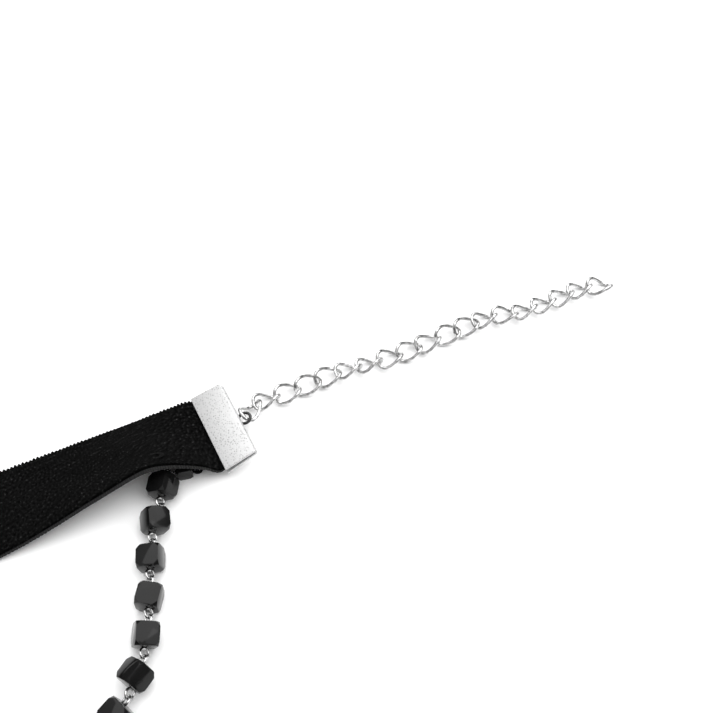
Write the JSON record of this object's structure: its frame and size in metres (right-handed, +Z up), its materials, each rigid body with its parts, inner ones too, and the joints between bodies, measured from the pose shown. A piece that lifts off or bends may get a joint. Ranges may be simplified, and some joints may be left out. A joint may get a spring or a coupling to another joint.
{
  "type": "choker necklace",
  "caption": "Black velvet ribbon choker with folded metal end crimps, a twisted-link extender chain, a clasp and a strand of cut black beads on wire eyes hanging from its ends.",
  "frame": {"origin": "middle of the laid-out necklace's footprint, on the surface that it lies on", "axes": "+X to the right along the extender chain, which is the longest extent; +Y away from the viewer; +Z up from the surface"},
  "size_m": [0.1694, 0.148, 0.0159],
  "materials": {
    "velvet": "matt black velvet pile with a fine woven selvage",
    "crimp_metal": "silver-toned, finely dimpled and satin",
    "bright_wire": "polished silver-toned wire",
    "bead_glass": "glossy black faceted glass, with bright silver-toned wire eyes in the looks",
    "thread": "matt black sewing thread"
  },
  "bodies": {
    "root": {"ribbon": "velvet", "crimp_chain_end": "crimp_metal", "crimp_clasp_end": "crimp_metal", "chain_link_01": "bright_wire", "chain_link_02": "bright_wire", "chain_link_03": "bright_wire", "chain_link_04": "bright_wire", "chain_link_05": "bright_wire", "chain_link_06": "bright_wire", "chain_link_07": "bright_wire", "chain_link_08": "bright_wire", "chain_link_09": "bright_wire", "chain_link_10": "bright_wire", "chain_link_11": "bright_wire", "chain_link_12": "bright_wire", "chain_link_13": "bright_wire", "chain_link_14": "bright_wire", "chain_link_15": "bright_wire", "chain_link_16": "bright_wire", "chain_link_17": "bright_wire", "chain_link_18": "bright_wire", "chain_link_19": "bright_wire", "bead_string_a": "bead_glass", "bead_string_b": "bead_glass", "thread_tack_a": "thread", "thread_tack_b": "thread", "jump_ring": "bright_wire", "clasp": "bright_wire"}
  },
  "joints": []
}
